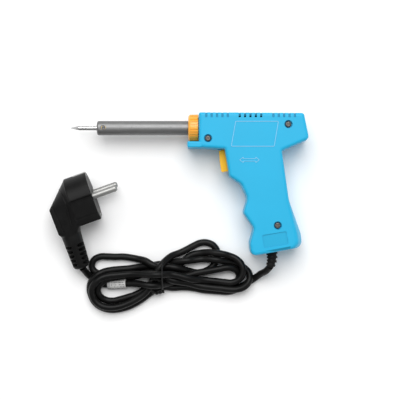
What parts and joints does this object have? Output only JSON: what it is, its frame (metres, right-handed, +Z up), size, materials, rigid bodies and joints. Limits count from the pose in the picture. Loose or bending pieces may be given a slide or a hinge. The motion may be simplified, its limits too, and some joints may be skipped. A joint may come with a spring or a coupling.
{
  "type": "pistol soldering iron",
  "caption": "Pistol-grip mains soldering iron with a trigger, a steel barrel and bit, and a hank of lead ending in a right-angled plug.",
  "frame": {"origin": "under the middle of the iron without its lead, on the surface it lies on", "axes": "+X along the barrel from the bit towards the back of the head, +Y from the grip towards the top of the head, +Z up through the thickness of the casing"},
  "size_m": [0.1951, 0.1505, 0.0366],
  "materials": {
    "blue_casing": "satin moulded plastic",
    "yellow_plastic": "glossy moulded plastic",
    "amber_plastic": "glossy moulded plastic",
    "barrel_steel": "dull nickel-plated steel",
    "bit_steel": "plated bit",
    "screw_steel": "zinc-plated steel",
    "spring_steel": "drawn wire",
    "brass": "satin",
    "ceramic": "matt unglazed",
    "resistance_wire": "oxidised wire",
    "sleeve": "mica sleeve",
    "lead_insulation": "glass-fibre sleeving",
    "switch_plastic": "matt moulded",
    "plunger_plastic": "matt moulded",
    "diode_case": "moulded epoxy",
    "block_plastic": "matt moulded",
    "live_wire": "insulated wire",
    "earth_insulation": "insulated wire",
    "black_rubber": "satin rubber",
    "lead_jacket": "satin rubber jacket",
    "tie_wire": "plastic-coated wire",
    "label": "printed sleeve",
    "plug_plastic": "moulded rubber",
    "pin_metal": "nickel-plated brass"
  },
  "bodies": {
    "iron": {"shell_front": "blue_casing", "shell_back": "blue_casing", "shell_screws": "screw_steel", "barrel_tube": "barrel_steel", "barrel_flange": "barrel_steel", "bit_bush": "brass", "bit_clamp_screw": "screw_steel", "heater_core": "ceramic", "heater_winding": "resistance_wire", "heater_sleeve": "sleeve", "heater_bead": "ceramic", "heater_leads": "lead_insulation", "trigger_pin": "screw_steel", "trigger_spring": "spring_steel", "switch_body": "switch_plastic", "switch_terminals": "brass", "diode": "diode_case", "terminal_block": "block_plastic", "terminal_screws": "brass", "supply_wires": "live_wire", "earth_wire": "earth_insulation", "earth_ring": "brass", "cord_tail": "lead_jacket", "cord_clamp": "switch_plastic", "clamp_screws": "screw_steel", "strain_relief": "black_rubber", "cord_run_gun": "lead_jacket", "cord_hank": "lead_jacket", "cord_run_plug": "lead_jacket", "cord_tie": "tie_wire", "cord_label": "label", "plug_body": "plug_plastic", "plug_pins": "pin_metal", "plug_earth_clips": "pin_metal"},
    "nut_carrier": {"collar_washer": "screw_steel"},
    "nut": {"collar_nut": "yellow_plastic"},
    "trigger": {"trigger": "amber_plastic"},
    "plunger": {"switch_plunger": "plunger_plastic"},
    "bit": {"bit": "bit_steel"}
  },
  "joints": [
    {"name": "collar_travel", "type": "slide", "parent": "iron", "child": "nut_carrier", "axis": [-1, 0, 0], "range_m": [0, 0.006]},
    {"name": "collar_turn", "type": "hinge", "parent": "nut_carrier", "child": "nut", "pos_m": [0, 0.04241, 0.015], "axis": [-1, 0, 0], "range_deg": [0, 1080]},
    {"name": "bit_slide", "type": "slide", "parent": "iron", "child": "bit", "axis": [-1, 0, 0], "range_m": [0, 0.04]},
    {"name": "trigger_pull", "type": "hinge", "parent": "iron", "child": "trigger", "pos_m": [0.02754, 0.02989, 0.015], "axis": [0, 0, 1], "range_deg": [0, 11], "stiffness_Nm_per_rad": 0.12, "springref_deg": -8.59, "deforming": ["trigger_spring"]},
    {"name": "plunger_press", "type": "slide", "parent": "iron", "child": "plunger", "axis": [0.9863, 0.165, 0], "range_m": [0, 0.0022]}
  ],
  "couplings": [
    {"joint": "collar_travel", "follows": "collar_turn", "m_per_rad": 0.0003183},
    {"joint": "plunger_press", "follows": "trigger_pull", "m_per_rad": 0.0093}
  ]
}
